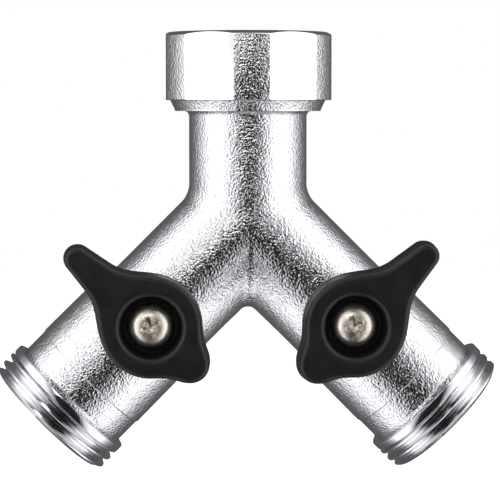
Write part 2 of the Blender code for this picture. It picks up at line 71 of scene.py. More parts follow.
# Collar and neck
COLLAR_FLATS = 0.0300
COLLAR_CORNER_RADIUS = 0.0158
COLLAR_FACE_RADIUS = 0.0145
COLLAR_CHAMFER = 0.00065
COLLAR_HEX_BOTTOM = -0.0124
COLLAR_SKIRT_RADIUS = 0.01425
COLLAR_FOOT_RADIUS = 0.0134
COLLAR_FOOT = -0.0142
COLLAR_BOTTOM = -0.0144
COLLAR_EDGE = 0.00022
COLLAR_EDGE_ANGLE = math.radians(24)
NECK_RADIUS = 0.0108
NECK_BORE_RADIUS = 0.0080
LINING_WALL = 0.0012
LINING_END = 0.0080
INLET_MOUTH_RADIUS = 0.0133
INLET_MOUTH_DEPTH = 0.0010
INLET_THREAD_DEPTH = 0.0092
INLET_RELIEF_RADIUS = 0.0129
INLET_FLOOR = -0.0124

# Arms
JUNCTION = Vector((0, 0, -0.0342))
ARM_TURN = math.radians(135)
ARM_RADIUS = 0.01085
ARM_SWELL_START = 0.0229
ARM_SWELL_END = 0.0314
ARM_SWELL_RADIUS = 0.0119
ARM_TURNED_START = 0.0409
ARM_CAST_RADIUS = 0.0120
ARM_TURNED_RADIUS = 0.01183
ARM_SHOULDER = 0.0461
LAND_END = 0.0475
LAND_RADIUS = 0.01315
ARM_END = 0.0521
END_CHAMFER = 0.0006
OUTLET_EDGE = 0.00018
CASTING_WALL = 0.0021
OUTER_FILLET = 0.0045
CROTCH_FILLET = 0.0022
NECK_FILLET = 0.0010
NECK_FILLET_REACH = 0.95
SKIN_AROUND = 96
SKIN_NECK_START = 0.0095
SKIN_ARM_START = 0.0150
SKIN_BLEND_ROWS = 34
SKIN_SEARCH_IN = 0.001
SKIN_SEARCH_OUT = 0.008
SKIN_SEARCH_STEPS = 34
SKIN_START_GUESS = 0.001
SKIN_START_STEPS = 24
TURNED_EDGE = 0.0001
TURNED_ROWS = (0.0418, 0.0432, 0.0447)

# Valve
VALVE_ALONG_ARM = 0.0255
CHAMBER_RADIUS = 0.0086
BALL_RADIUS = 0.00825
BALL_BORE_RADIUS = 0.0055
BALL_SLOT_WIDTH = 0.0026
BALL_SLOT_FLOOR = 0.0063
SHOULDER_BEFORE_BALL = 0.0075
SEAT_OUTER_RADIUS = CHAMBER_RADIUS - GAP
SEAT_BORE_RADIUS = 0.0058
RETAINER_LENGTH = 0.0070
RETAINER_KEY_FLATS = 0.0115
SEAT_EDGE = 0.00015
RETAINER_EDGE = 0.0003
BOSS_RADIUS = 0.0065
BOSS_TOP = 0.0149
BOSS_FILLET = 0.0012
BOSS_FOOT = 0.0098
STEM_BORE_RADIUS = 0.0042
STEM_RADIUS = STEM_BORE_RADIUS - GAP
STEM_SQUARE = 0.0060
LUG_ANGLE = math.radians(40)
LUG_RADIUS = 0.0076
TRAVEL = math.radians(90)
STOP_MARGIN = math.radians(2)

# Knob
HUB_RADIUS = 0.0092
WING_TIP_RADIUS = 0.0025
WING_TIP_OUT = 0.0176
WING_ROOT_OUT = 0.0060
WING_TAPER = math.radians(9)
SHORT_WING_RADIUS = 0.0033
SHORT_WING_OUT = 0.0098
OUTLINE_BLEND = 0.0042
OUTLINE_POINTS = 260
OUTLINE_SAMPLES = 1440
OUTLINE_SEARCH_STEPS = 30
KNOB_SKIRT_BOTTOM = 0.0132
KNOB_SKIRT_RADIUS = 0.0088
KNOB_BOTTOM = 0.0145
KNOB_PARTING = 0.0175
KNOB_FACE = 0.0223
KNOB_FACE_INSET = 0.00120
KNOB_DRAFT = 0.00020
KNOB_EDGE_ROLL = 0.0011
KNOB_BACK_EDGE = ((0.0, 0.00045), (0.0002, 0.00022), (0.0005, 0.00015))
PARTING_STEP = 0.00003
KNOB_CAVITY_RADIUS = 0.0080
KNOB_WEB_BOTTOM = BOSS_TOP + GAP
RIB_BOTTOM = 0.0135
RIB_INNER_RADIUS = 0.0069
RECESS_FLOOR = 0.0176
RECESS_FLOOR_RADIUS = 0.0049
RECESS_MOUTH_RADIUS = 0.0055
RECESS_RIM_RADIUS = 0.0064
RECESS_RIM_DEPTH = 0.0009

# Screw
SCREW_SEAT = RECESS_FLOOR + GAP
SCREW_HEAD_RADIUS = 0.0040
SCREW_HEAD_HEIGHT = 0.0031
SCREW_LENGTH = 0.0060
SCREW_CORE_RADIUS = 0.0016
SCREW_EDGE = 0.00015
DOME_FLAT_RADIUS = 0.0012
DOME_START = 0.25
DOME_END = 0.93
CROSS_SPAN = 0.0045
CROSS_WIDTH = 0.00105
CROSS_DEPTH = 0.0019
CROSS_TURN = math.radians(22)
CROSS_TAPER = 0.35
PIT_FLOOR_RADIUS = 0.0006
PIT_MOUTH_RADIUS = 0.00125

# Washer
WASHER_OUTER_RADIUS = 0.0125
WASHER_BORE_RADIUS = 0.0082
WASHER_THICKNESS = 0.0025
WASHER_EDGE = 0.0004

# Camera and light
CAMERA_PLACE = (-0.020, -0.424, -0.013)
CAMERA_AIM = (0.0004, 0.0, -0.0400)
CAMERA_LENS = 166.0
FLOOR_DROP = 0.05
FLOOR_RADIUS = 1.2
FLOOR_LIFT = 0.62
LIGHT_AIM = (0.0, 0.0, -0.04)
# Softboxes: name, place, width, height and watts
SOFTBOXES = (
    ("left_softbox", (-0.60, -0.25, 0.10), 0.50, 0.90, 0.45),
    ("right_softbox", (0.60, -0.25, 0.10), 0.50, 0.90, 0.45),
    ("top_softbox", (0.0, 0.0, 0.60), 0.90, 0.50, 1.0),
    ("front_softbox", (-0.12, -0.70, 0.26), 0.30, 0.22, 0.6),
)
ROOM_STRENGTH = 1.0
# The room's level by the angle in degrees away from the front
ROOM_LEVELS = (
    (0, 0.012),
    (20, 0.02),
    (34, 0.95),
    (50, 1.45),
    (92, 1.30),
    (112, 0.42),
    (135, 0.13),
    (180, 0.10),
)


# ---------------------------------------------------------------- solids

def add_object(name, shape):
    bmesh.ops.recalc_face_normals(shape, faces=shape.faces)
    mesh = bpy.data.meshes.new(name)
    shape.to_mesh(mesh)
    shape.free()
    item = bpy.data.objects.new(name, mesh)
    bpy.context.scene.collection.objects.link(item)
    return item


def bake(item):
    """Give an object the mesh that its modifiers make, and drop them."""
    bpy.context.view_layer.update()
    evaluated = item.evaluated_get(bpy.context.evaluated_depsgraph_get())
    mesh = bpy.data.meshes.new_from_object(evaluated)
    item.modifiers.clear()
    item.data = mesh


def combine(target, tool, operation):
    """Apply the exact Boolean of a tool to a target, and remove the tool."""
    modifier = target.modifiers.new(operation, "BOOLEAN")
    modifier.operation = operation
    modifier.solver = "EXACT"
    modifier.object = tool
    bake(target)
    bpy.data.objects.remove(tool)


def turned(name, profile, segments):
    """A solid of revolution about Z over a closed outline of (radius, height)."""
    shape = bmesh.new()
    corners = [shape.verts.new((radius, 0.0, height)) for radius, height in profile]
    edges = [shape.edges.new((corners[i - 1], corners[i])) for i in range(len(corners))]
    on_axis = [edge for edge in edges if all(abs(vert.co.x) < 1e-9 for vert in edge.verts)]
    bmesh.ops.delete(shape, geom=on_axis, context="EDGES_FACES")
    bmesh.ops.spin(
        shape,
        geom=shape.verts[:] + shape.edges[:],
        axis=(0, 0, 1),
        cent=(0, 0, 0),
        steps=segments,
        angle=2 * math.pi,
    )
    bmesh.ops.remove_doubles(shape, verts=shape.verts, dist=1e-7)
    return add_object(name, shape)


def rod(name, radius, bottom, top, segments):
    return turned(name, [(0, bottom), (radius, bottom), (radius, top), (0, top)], segments)


def block(name, length, width, bottom, top, taper=0.0):
    """A box centred on Z, narrower by a share of its size at the bottom."""
    shape = bmesh.new()
    bmesh.ops.create_cube(shape, size=1.0)
    for vert in shape.verts:
        share = 1.0 - taper if vert.co.z < 0 else 1.0
        vert.co.x *= length * share
        vert.co.y *= width * share
        vert.co.z = bottom if vert.co.z < 0 else top
    return add_object(name, shape)


def prism(name, outline, bottom, top):
    shape = bmesh.new()
    floor = shape.faces.new([shape.verts.new((x, y, bottom)) for x, y in outline])
    raised = bmesh.ops.extrude_face_region(shape, geom=[floor])
    above = [item for item in raised["geom"] if isinstance(item, bmesh.types.BMVert)]
    bmesh.ops.translate(shape, verts=above, vec=(0, 0, top - bottom))
    return add_object(name, shape)


def hexagon(flats):
    corner = flats / math.sqrt(3)
    return [(corner * math.cos(k * math.pi / 3), corner * math.sin(k * math.pi / 3)) for k in range(6)]


def sector(name, inner, outer, middle, sweep, bottom, top, steps):
    angles = [middle + sweep * (k / steps - 0.5) for k in range(steps + 1)]
    outline = [(outer * math.cos(a), outer * math.sin(a)) for a in angles]
    outline += [(inner * math.cos(a), inner * math.sin(a)) for a in reversed(angles)]
    return prism(name, outline, bottom, top)


def moved(item, place):
    item.data.transform(place)
    return item


def rounded(corners, radius, steps=4):
    """An outline of (radius, height) with its corners off the axis turned into small arcs."""
    outline = []
    count = len(corners)
    for i, (x, y) in enumerate(corners):
        here = Vector((x, y))
        before = Vector(corners[i - 1]) - here
        after = Vector(corners[(i + 1) % count]) - here
        if x < 1e-9:
            outline.append((x, y))
            continue
        reach = min(radius, before.length * 0.45, after.length * 0.45)
        start = here + before.normalized() * reach
        end = here + after.normalized() * reach
        for k in range(steps + 1):
            t = k / steps
            point = start * (1 - t) ** 2 + here * 2 * t * (1 - t) + end * t ** 2
            outline.append((point.x, point.y))
    return outline


# ---------------------------------------------------------------- threads

THREAD_STEPS = 12
THREAD_FLAT = 1 / 6


def thread_radius(share):
    """Radius of the rounded thread form at a share of the pitch."""
    rise = min(max((abs(2 * share - 1) - THREAD_FLAT) / (1 - 2 * THREAD_FLAT), 0.0), 1.0)
    soft = rise * rise * (3 - 2 * rise)
    return THREAD_MINOR + (THREAD_MAJOR - THREAD_MINOR) * (0.5 * rise + 0.5 * soft)


def threaded_core(name, bottom, top, segments):
    """A right-hand threaded rod about Z that runs at least from bottom to top."""
    rows = THREAD_STEPS * (math.ceil((top - bottom) / PITCH) + 2)
    shape = bmesh.new()
    grid = []
    for row in range(rows + THREAD_STEPS):
        turn, step = divmod(row, THREAD_STEPS)
        radius = thread_radius(step / THREAD_STEPS)
        line = []
        for column in range(segments if row < rows else 1):
            angle = 2 * math.pi * (column + 0.5) / segments
            height = bottom + PITCH * (turn - 1 + step / THREAD_STEPS + column / segments)
            line.append(shape.verts.new((radius * math.cos(angle), radius * math.sin(angle), height)))
        grid.append(line)

    def corner(row, column):
        return grid[row][column] if column < segments else grid[row + THREAD_STEPS][0]

    for row in range(rows - 1):
        for column in range(segments):
            shape.faces.new((
                corner(row, column),
                corner(row, column + 1),
                corner(row + 1, column + 1),
                corner(row + 1, column),
            ))
    for row in (0, rows - 1):
        rim = [corner(row, column) for column in range(segments)]
        rim += [grid[row + k][0] for k in range(THREAD_STEPS, 0, -1)]
        apex = shape.verts.new((0, 0, rim[0].co.z))
        for k in range(len(rim)):
            shape.faces.new((apex, rim[k - 1], rim[k]))
    return add_object(name, shape)


# ---------------------------------------------------------------- frames of the arms and valves

def arm_frame(side):
    return Matrix.Translation(JUNCTION) @ Matrix.Rotation(SIDES[side]["lean"] * ARM_TURN, 4, "Y")


def valve_centre_frame(side):
    return arm_frame(side) @ Matrix.Translation((0, 0, VALVE_ALONG_ARM))


def boss_frame(side):
    centre = arm_frame(side) @ Vector((0, 0, VALVE_ALONG_ARM))
    return Matrix.Translation(centre) @ Matrix.Rotation(math.pi / 2, 4, "X")


def valve_frame(side):
    turn = SIDES[side]["closed"] + SIDES[side]["opens"] * SIDES[side]["turned"]
    return boss_frame(side) @ Matrix.Rotation(turn, 4, "Z")


# ---------------------------------------------------------------- casting skin

NECK_LENGTH = COLLAR_BOTTOM - JUNCTION.z
# Each arm leans 45 degrees below the horizontal, so both its sine and cosine are this
COS_ARM = math.sqrt(0.5)


def neck_radius(s):
    """Neck radius at a height above the junction, with a small fillet under the collar."""
    start = NECK_LENGTH - NECK_FILLET
    t = np.clip((s - start) / NECK_FILLET, 0.0, 1.0)
    return NECK_RADIUS + NECK_FILLET * (1 - np.sqrt(1 - t * t)) * NECK_FILLET_REACH


def arm_radius(s):
    """Arm radius at a distance from the junction: swelling, then a fine turned step."""
    t = np.clip((s - ARM_SWELL_START) / (ARM_SWELL_END - ARM_SWELL_START), 0.0, 1.0)
    swell = ARM_RADIUS + (ARM_SWELL_RADIUS - ARM_RADIUS) * t * t * (3 - 2 * t)
    u = np.clip((s - ARM_SWELL_END) / (ARM_TURNED_START - ARM_SWELL_END), 0.0, 1.0)
    swell = swell + (ARM_CAST_RADIUS - ARM_SWELL_RADIUS) * u
    return np.where(s > ARM_TURNED_START, ARM_TURNED_RADIUS, swell)


def limb_distance(points, axis, radius_of):
    """Distance from one limb's surface, and the direction away from its axis."""
    along = points @ axis
    away = points - along[:, None] * axis
    reach = np.linalg.norm(away, axis=1)
    return reach - radius_of(along), away / np.maximum(reach, 1e-9)[:, None]


def skin_radius(s, direction, limb, other, fillet):
    """Distance from a limb's axis to the filleted skin, for stations s and unit directions."""
    axis, radius_of = limb
    base = radius_of(s)
    inside = base - SKIN_SEARCH_IN
    outside = base + SKIN_SEARCH_OUT
    for _ in range(SKIN_SEARCH_STEPS):
        middle = (inside + outside) / 2
        points = s[:, None] * axis + middle[:, None] * direction
        first = middle - base
        second, away = limb_distance(points, *other)
        bend = fillet * np.clip(1 - np.sum(away * direction, axis=1), 0.0, 2.0)
        corner = np.hypot(np.maximum(bend - first, 0), np.maximum(bend - second, 0))
        value = np.maximum(bend, np.minimum(first, second)) - corner
        low = value < 0
        inside = np.where(low, middle, inside)
        outside = np.where(low, outside, middle)
    return (inside + outside) / 2


def skin_patch(limb, other, inplane, fillet, stations):
    """Points on half of a limb, from the plane it shares with the other limb to its end."""
    axis = limb[0]
    angles = np.linspace(-math.pi / 2, math.pi / 2, SKIN_AROUND + 1)
    front = np.array((0.0, -1.0, 0.0))
    direction = np.cos(angles)[:, None] * inplane + np.sin(angles)[:, None] * front
    lean = direction @ other[0] / (1 - axis @ other[0])
    start = np.full(SKIN_AROUND + 1, SKIN_START_GUESS)
    for _ in range(SKIN_START_STEPS):
        start = skin_radius(start, direction, limb, other, fillet) * lean
    rows = [start + (stations[0] - start) * k / SKIN_BLEND_ROWS for k in range(SKIN_BLEND_ROWS)]
    rows += [np.full(SKIN_AROUND + 1, s) for s in stations]
    grid = []
    for s in rows:
        radius = skin_radius(s, direction, limb, other, fillet)
        points = s[:, None] * axis + radius[:, None] * direction
        grid.append(points + np.array(JUNCTION))
    return grid


def add_casting():
    """The skin of neck and arms with true fillets, given the casting's wall thickness."""
    up = np.array((0.0, 0.0, 1.0))
    arms = {side: np.array((data["lean"] * COS_ARM, 0.0, -COS_ARM)) for side, data in SIDES.items()}
    fillet_start = NECK_LENGTH - NECK_FILLET
    neck_rows = list(np.linspace(SKIN_NECK_START, fillet_start, 12))
    neck_rows += [fillet_start + NECK_FILLET * math.sin(k * math.pi / 16) for k in range(1, 9)]
    neck_rows.append(NECK_LENGTH + GAP)
    arm_rows = list(np.linspace(SKIN_ARM_START, ARM_TURNED_START - TURNED_EDGE, 44))
    arm_rows += [ARM_TURNED_START + TURNED_EDGE, *TURNED_ROWS, ARM_SHOULDER + GAP]
    patches = []
    for side, axis in arms.items():
        lean = SIDES[side]["lean"]
        neck = (up, neck_radius)
        arm = (axis, arm_radius)
        other_arm = (arms["left" if side == "right" else "right"], arm_radius)
        sideways = np.array((lean, 0.0, 0.0))
        outwards = np.array((lean * COS_ARM, 0.0, COS_ARM))
        patches.append(skin_patch(neck, arm, sideways, OUTER_FILLET, neck_rows))
        patches.append(skin_patch(arm, neck, outwards, OUTER_FILLET, arm_rows))
        patches.append(skin_patch(arm, other_arm, -outwards, CROTCH_FILLET, arm_rows))
    shape = bmesh.new()
    for grid in patches:
        verts = [[shape.verts.new(point) for point in row] for row in grid]
        for lower, upper in zip(verts, verts[1:]):
            for k in range(SKIN_AROUND):
                shape.faces.new((lower[k], lower[k + 1], upper[k + 1], upper[k]))
    bmesh.ops.remove_doubles(shape, verts=shape.verts, dist=2e-6)
    casting = add_object("casting", shape)
    wall = casting.modifiers.new("wall", "SOLIDIFY")
    wall.thickness = CASTING_WALL
    wall.offset = -1.0
    return casting


# ---------------------------------------------------------------- collar and outlets

def add_collar():
    """The hexagonal collar with its threaded socket and the neck's bore."""
    profile = [
        (0, 0),
        (COLLAR_FACE_RADIUS, 0),
        (COLLAR_CORNER_RADIUS, -COLLAR_CHAMFER),
        (COLLAR_CORNER_RADIUS, COLLAR_HEX_BOTTOM),
        (COLLAR_SKIRT_RADIUS, COLLAR_HEX_BOTTOM),
        (COLLAR_FOOT_RADIUS, COLLAR_FOOT),
        (COLLAR_FOOT_RADIUS, COLLAR_BOTTOM),
        (NECK_BORE_RADIUS + LINING_WALL, COLLAR_BOTTOM),
        (NECK_BORE_RADIUS + LINING_WALL, JUNCTION.z + LINING_END),
        (0, JUNCTION.z + LINING_END),
    ]
    collar = turned("inlet_collar", rounded(profile, COLLAR_EDGE, 3), 192)
    flats = prism("flats", hexagon(COLLAR_FLATS), 4 * COLLAR_BOTTOM, COLLAR_FLATS)
    combine(collar, moved(flats, Matrix.Rotation(math.pi / 2, 4, "Z")), "INTERSECT")
    edges = collar.modifiers.new("edges", "BEVEL")
    edges.width = COLLAR_EDGE
    edges.segments = 3
    edges.limit_method = "ANGLE"
    edges.angle_limit = COLLAR_EDGE_ANGLE
    edges.use_clamp_overlap = True
    bake(collar)
    above = INLET_MOUTH_DEPTH
    slope = (INLET_MOUTH_RADIUS - THREAD_MINOR) / INLET_MOUTH_DEPTH
    bore = [
        (0, above),
        (INLET_MOUTH_RADIUS + above * slope, above),
        (THREAD_MINOR - GAP, -INLET_MOUTH_DEPTH - GAP / slope),
        (THREAD_MINOR - GAP, -INLET_THREAD_DEPTH),
        (INLET_RELIEF_RADIUS, -INLET_THREAD_DEPTH),
        (INLET_RELIEF_RADIUS, INLET_FLOOR),
        (NECK_BORE_RADIUS, INLET_FLOOR),
        (NECK_BORE_RADIUS, 2 * JUNCTION.z),
        (0, 2 * JUNCTION.z),
    ]
    combine(collar, turned("bore", bore, 128), "DIFFERENCE")
    bottom = -INLET_THREAD_DEPTH - 0.5 * PITCH
    thread = threaded_core("socket_thread", bottom, 0.5 * PITCH, 112)
    limits = rod("limits", THREAD_MAJOR + GAP, -INLET_THREAD_DEPTH - GAP, 0.5 * PITCH, 96)
    combine(thread, limits, "INTERSECT")
    combine(collar, thread, "DIFFERENCE")
    return collar


def add_outlet(side):
    """One machined outlet: shoulder land, thread and bore."""
    profile = [
        (0, VALVE_ALONG_ARM + SHOULDER_BEFORE_BALL),
        (ARM_TURNED_RADIUS - LINING_WALL, VALVE_ALONG_ARM + SHOULDER_BEFORE_BALL),
        (ARM_TURNED_RADIUS - LINING_WALL, ARM_SHOULDER),
        (LAND_RADIUS, ARM_SHOULDER),
        (LAND_RADIUS, LAND_END),
        (0, LAND_END),
    ]
    outlet = turned(f"outlet_{side}", rounded(profile, OUTLET_EDGE, 3), 160)
    bottom = LAND_END - 0.5 * PITCH
    blank = [
        (0, bottom),
        (THREAD_MINOR, bottom),
        (THREAD_MAJOR + GAP, LAND_END + 2 * GAP),
        (THREAD_MAJOR + GAP, ARM_END - END_CHAMFER - GAP),
        (THREAD_MAJOR - END_CHAMFER, ARM_END),
        (0, ARM_END),
    ]
    thread = threaded_core("thread", bottom, ARM_END, 128)
    combine(thread, turned("blank", blank, 150), "INTERSECT")
    combine(outlet, thread, "UNION")
    bore = [
        (0, 0),
        (CHAMBER_RADIUS, 0),
        (CHAMBER_RADIUS, ARM_END - END_CHAMFER),
        (CHAMBER_RADIUS + 2 * END_CHAMFER, ARM_END + END_CHAMFER),
        (0, ARM_END + END_CHAMFER),
    ]
    combine(outlet, turned("bore", bore, 140), "DIFFERENCE")
    return moved(outlet, arm_frame(side))


def add_boss(side):
    """The stem boss and stop lug, with a fillet where the boss meets the arm."""
    skirt = BOSS_RADIUS + BOSS_FILLET
    profile = [(0, BOSS_FOOT), (skirt, BOSS_FOOT), (skirt, ARM_RADIUS)]
    for k in range(1, 7):
        angle = k * math.pi / 12
        profile.append((
            BOSS_RADIUS + BOSS_FILLET * (1 - math.sin(angle)),
            ARM_RADIUS + BOSS_FILLET * (1 - math.cos(angle)),
        ))
    profile += [(BOSS_RADIUS, BOSS_TOP - GAP), (BOSS_RADIUS - GAP, BOSS_TOP), (0, BOSS_TOP)]
    boss = turned(f"boss_{side}", profile, 96)
    lug_root = BOSS_RADIUS - 2 * GAP
    lug_top = BOSS_TOP - GAP / 3
    lug_middle = SIDES[side]["lug"]
    lug = sector("lug", lug_root, LUG_RADIUS, lug_middle, LUG_ANGLE, BOSS_FOOT + GAP, lug_top, 16)
    combine(boss, lug, "UNION")
    combine(boss, rod("bore", STEM_BORE_RADIUS, 0, 2 * BOSS_TOP, 72), "DIFFERENCE")
    return moved(boss, boss_frame(side))


# ---------------------------------------------------------------- valve pieces

def add_seats(side):
    back = SHOULDER_BEFORE_BALL - GAP
    touch = math.sqrt(2) * (BALL_RADIUS + GAP)
    seats = []
    for name, way in (("inner_seat", -1), ("outer_seat", 1)):
        profile = [
            (SEAT_BORE_RADIUS, way * back),
            (SEAT_OUTER_RADIUS, way * back),
            (SEAT_OUTER_RADIUS, way * (touch - SEAT_OUTER_RADIUS)),
            (SEAT_BORE_RADIUS, way * (touch - SEAT_BORE_RADIUS)),
        ]
        seat = turned(f"fine_{side}_{name}", rounded(profile, SEAT_EDGE, 2), 96)
        seats.append((moved(seat, valve_centre_frame(side)), f"{side}_{name}"))
    return seats


def add_retainer(side):
    bottom = SHOULDER_BEFORE_BALL
    top = bottom + RETAINER_LENGTH
    profile = [(0, bottom), (SEAT_OUTER_RADIUS, bottom), (SEAT_OUTER_RADIUS, top), (0, top)]
    retainer = turned(f"fine_{side}_seat_retainer", rounded(profile, RETAINER_EDGE, 3), 96)
    key_hole = prism("key_hole", hexagon(RETAINER_KEY_FLATS), bottom - GAP, top + GAP)
    combine(retainer, key_hole, "DIFFERENCE")
    return moved(retainer, valve_centre_frame(side))


def add_ball(side):
    shape = bmesh.new()
    bmesh.ops.create_uvsphere(shape, u_segments=96, v_segments=48, radius=BALL_RADIUS)
    ball = add_object(f"fine_{side}_ball", shape)
    bore = rod("bore", BALL_BORE_RADIUS, -2 * BALL_RADIUS, 2 * BALL_RADIUS, 80)
    combine(ball, moved(bore, Matrix.Rotation(math.pi / 2, 4, "Y")), "DIFFERENCE")
    slot = block("slot", BALL_SLOT_WIDTH, 2 * BALL_RADIUS, BALL_SLOT_FLOOR, 2 * BALL_RADIUS)
    combine(ball, slot, "DIFFERENCE")
    return moved(ball, valve_frame(side))


def add_washer():
    bottom = INLET_FLOOR + GAP
    top = bottom + WASHER_THICKNESS
    profile = [
        (WASHER_BORE_RADIUS, bottom),
        (WASHER_OUTER_RADIUS, bottom),
        (WASHER_OUTER_RADIUS, top),
        (WASHER_BORE_RADIUS, top),
    ]
    return turned("fine_inlet_washer", rounded(profile, WASHER_EDGE, 4), 128)


# ---------------------------------------------------------------- knob and screw

def blend(first, second):
    weight = max(OUTLINE_BLEND - abs(first - second), 0.0) / OUTLINE_BLEND
    return min(first, second) - weight * weight * OUTLINE_BLEND / 4


def outline_depth(x, y):
    """Signed distance from the blended knob outline: below zero inside it."""
    hub = math.hypot(x, y) - HUB_RADIUS
    short_wing = math.hypot(x + SHORT_WING_OUT, y) - SHORT_WING_RADIUS
    across = math.cos(WING_TAPER) * abs(y) + math.sin(WING_TAPER) * (x - WING_TIP_OUT)
    along = math.cos(WING_TAPER) * (x - WING_TIP_OUT) - math.sin(WING_TAPER) * abs(y)
    if along > 0:
        wing = math.hypot(x - WING_TIP_OUT, y) - WING_TIP_RADIUS
    else:
        wing = max(across - WING_TIP_RADIUS, WING_ROOT_OUT - x)
    return blend(blend(hub, short_wing), wing)


def outline_radius(angle, inset):
    inside = 0.0
    outside = WING_TIP_OUT + 2 * WING_TIP_RADIUS
    for _ in range(OUTLINE_SEARCH_STEPS):
        middle = (inside + outside) / 2
        if outline_depth(middle * math.cos(angle), middle * math.sin(angle)) < -inset:
            inside = middle
        else:
            outside = middle
    return inside


def knob_outline(inset):
    """Evenly spaced points along the knob's outline, starting at the tip of the long wing."""
    loop = []
    for k in range(OUTLINE_SAMPLES + 1):
        angle = 2 * math.pi * k / OUTLINE_SAMPLES
        loop.append(Vector((math.cos(angle), math.sin(angle))) * outline_radius(angle, inset))
    lengths = [0.0]
    for k in range(OUTLINE_SAMPLES):
        lengths.append(lengths[-1] + (loop[k + 1] - loop[k]).length)
    points = []
    place = 0
    for k in range(OUTLINE_POINTS):
        goal = lengths[-1] * k / OUTLINE_POINTS
        while lengths[place + 1] < goal:
            place += 1
        share = (goal - lengths[place]) / (lengths[place + 1] - lengths[place])
        points.append(loop[place].lerp(loop[place + 1], share))
    return points


def knob_levels():
    """Heights and insets of the knob's wall: draft, parting step, and a rolled front edge."""
    shoulder = KNOB_FACE - KNOB_EDGE_ROLL
    levels = [(KNOB_BOTTOM + height, inset) for height, inset in KNOB_BACK_EDGE]
    levels += [
        (KNOB_PARTING - 2 * PARTING_STEP, PARTING_STEP),
        (KNOB_PARTING, 0.0),
        (KNOB_PARTING + 2 * PARTING_STEP, PARTING_STEP),
        (shoulder, KNOB_DRAFT),
    ]
    for k in range(1, 9):
        angle = k * math.pi / 16
        inset = KNOB_DRAFT + (KNOB_FACE_INSET - KNOB_DRAFT) * (1 - math.cos(angle))
        levels.append((shoulder + (KNOB_FACE - shoulder) * math.sin(angle), inset))
    return levels


def knob_mesh():
    """The knob in its own frame, fully cut; both sides share it."""
    shape = bmesh.new()
    rings = []
    for height, inset in knob_levels():
        rings.append([shape.verts.new((p.x, p.y, height)) for p in knob_outline(inset)])
    for lower, upper in zip(rings, rings[1:]):
        for k in range(OUTLINE_POINTS):
            shape.faces.new((lower[k - 1], lower[k], upper[k], upper[k - 1]))
    shape.faces.new(rings[0])
    shape.faces.new(rings[-1])
    knob = add_object("knob", shape)
    combine(knob, rod("skirt", KNOB_SKIRT_RADIUS, KNOB_SKIRT_BOTTOM, KNOB_PARTING, 128), "UNION")
    cavity = rod("cavity", KNOB_CAVITY_RADIUS, KNOB_SKIRT_BOTTOM - GAP, KNOB_WEB_BOTTOM, 128)
    combine(knob, cavity, "DIFFERENCE")
    rib_sweep = 2 * math.pi - TRAVEL - LUG_ANGLE - 2 * STOP_MARGIN
    rib_outer = (KNOB_CAVITY_RADIUS + KNOB_SKIRT_RADIUS) / 2
    rib_top = KNOB_WEB_BOTTOM + GAP
    rib = sector("rib", RIB_INNER_RADIUS, rib_outer, 0, rib_sweep, RIB_BOTTOM, rib_top, 72)
    combine(knob, rib, "UNION")
    hole_flats = STEM_SQUARE + 2 * GAP
    hole = block("hole", hole_flats, hole_flats, KNOB_WEB_BOTTOM - GAP, KNOB_FACE)
    combine(hole, rod("corners", STEM_RADIUS + GAP, 0, 2 * KNOB_FACE, 64), "INTERSECT")
    combine(knob, hole, "DIFFERENCE")
    rim = KNOB_FACE - RECESS_RIM_DEPTH
    recess = [(0, RECESS_FLOOR), (RECESS_FLOOR_RADIUS, RECESS_FLOOR), (RECESS_MOUTH_RADIUS, rim)]
    for k in range(1, 7):
        angle = k * math.pi / 12
        recess.append((
            RECESS_MOUTH_RADIUS + (RECESS_RIM_RADIUS - RECESS_MOUTH_RADIUS) * (1 - math.cos(angle)),
            rim + RECESS_RIM_DEPTH * math.sin(angle),
        ))
    recess += [(RECESS_RIM_RADIUS + GAP, KNOB_FACE + GAP), (0, KNOB_FACE + GAP)]
    combine(knob, turned("recess", recess, 144), "DIFFERENCE")
    return knob


def add_screw(side):
    """Pan head screw with rounded rim and a tapered cross recess."""
    shoulder = SCREW_SEAT + DOME_START * SCREW_HEAD_HEIGHT
    crown = SCREW_SEAT + DOME_END * SCREW_HEAD_HEIGHT
    top = SCREW_SEAT + SCREW_HEAD_HEIGHT
    profile = [
        (0, SCREW_SEAT - SCREW_LENGTH),
        (SCREW_CORE_RADIUS, SCREW_SEAT - SCREW_LENGTH),
        (SCREW_CORE_RADIUS, SCREW_SEAT),
        (SCREW_HEAD_RADIUS - SCREW_EDGE, SCREW_SEAT),
        (SCREW_HEAD_RADIUS, SCREW_SEAT + SCREW_EDGE),
        (SCREW_HEAD_RADIUS, shoulder),
    ]
    for k in range(1, 11):
        angle = k * math.pi / 20
        radius = DOME_FLAT_RADIUS + (SCREW_HEAD_RADIUS - DOME_FLAT_RADIUS) * math.cos(angle)
        profile.append((radius, shoulder + (crown - shoulder) * math.sin(angle)))
    profile += [(0.6 * DOME_FLAT_RADIUS, crown + 0.65 * (top - crown)), (0, top)]
    screw = turned(f"screw_{side}", profile, 128)
    direction = CROSS_TURN - SIDES[side]["closed"] - SIDES[side]["opens"] * SIDES[side]["turned"]
    for quarter in (0, 1):
        slot = block("slot", CROSS_SPAN, CROSS_WIDTH, top - CROSS_DEPTH, top + GAP, CROSS_TAPER)
        turn = Matrix.Rotation(direction + quarter * math.pi / 2, 4, "Z")
        combine(screw, moved(slot, turn), "DIFFERENCE")
    pit = [
        (0, top - CROSS_DEPTH - GAP),
        (PIT_FLOOR_RADIUS, top - CROSS_DEPTH),
        (PIT_MOUTH_RADIUS, top + GAP),
        (0, top + GAP),
    ]
    combine(screw, turned("pit", pit, 24), "DIFFERENCE")
    return moved(screw, valve_frame(side))


# ---------------------------------------------------------------- materials

NOISE_LOW = 0.3
NOISE_HIGH = 0.7


